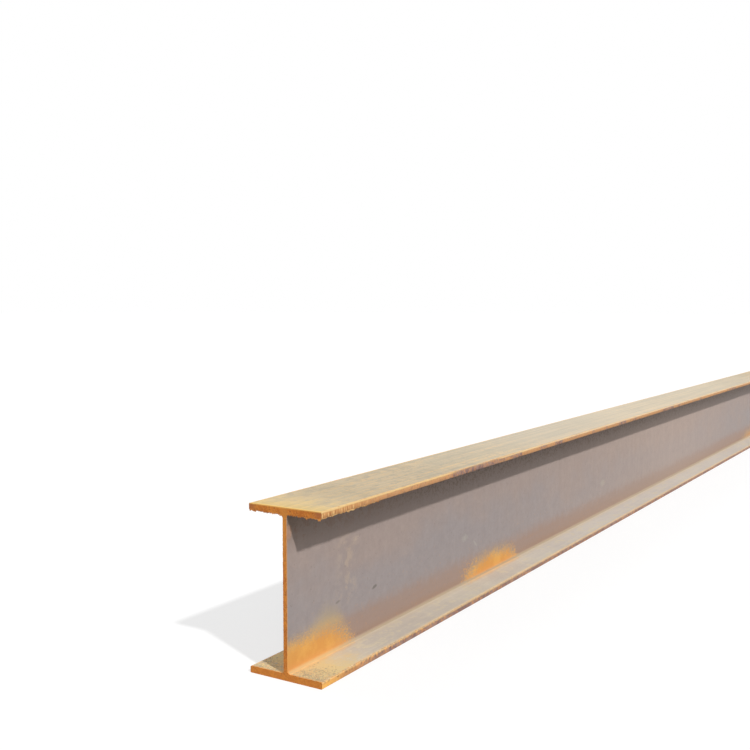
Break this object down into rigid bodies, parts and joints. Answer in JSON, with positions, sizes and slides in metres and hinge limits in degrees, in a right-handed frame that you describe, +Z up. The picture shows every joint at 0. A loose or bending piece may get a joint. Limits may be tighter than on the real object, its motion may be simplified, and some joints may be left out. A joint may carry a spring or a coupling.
{
  "type": "steel h-beam",
  "caption": "Straight hot-rolled steel H-beam with parallel flanges, filleted roots and square sawn ends, for columns, girders and frames.",
  "frame": {"origin": "middle of the bottom flange's underside, halfway along the beam", "axes": "+X along the beam, +Y across the flanges, +Z up the web from the bottom flange to the top flange"},
  "size_m": [9, 0.302, 0.594],
  "materials": {
    "rolled_steel": "weathered mill scale with light orange rust on the sawn ends and flange edges"
  },
  "bodies": {
    "root": {"h_beam": "rolled_steel"}
  },
  "joints": []
}
